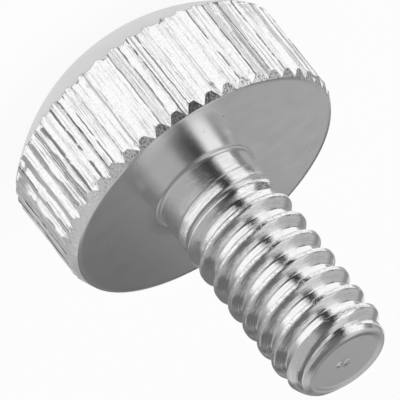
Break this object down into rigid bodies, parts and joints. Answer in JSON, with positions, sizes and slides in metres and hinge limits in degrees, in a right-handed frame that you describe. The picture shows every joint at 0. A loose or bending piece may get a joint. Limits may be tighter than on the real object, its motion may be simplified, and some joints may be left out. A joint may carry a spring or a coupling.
{
  "type": "fender mounting bolt",
  "caption": "Short bolt with a round straight-knurled thumb head, domed crown with a flat land, plain neck and coarse machine thread, tightened by hand to clamp a fender.",
  "frame": {"origin": "centre of the flat land on the crown, which the bolt stands on", "axes": "+Z along the shank from the head to the tip"},
  "size_m": [0.013, 0.013, 0.0165],
  "materials": {
    "plated_steel": "gloss"
  },
  "bodies": {
    "root": {"fender_bolt": "plated_steel"}
  },
  "joints": []
}
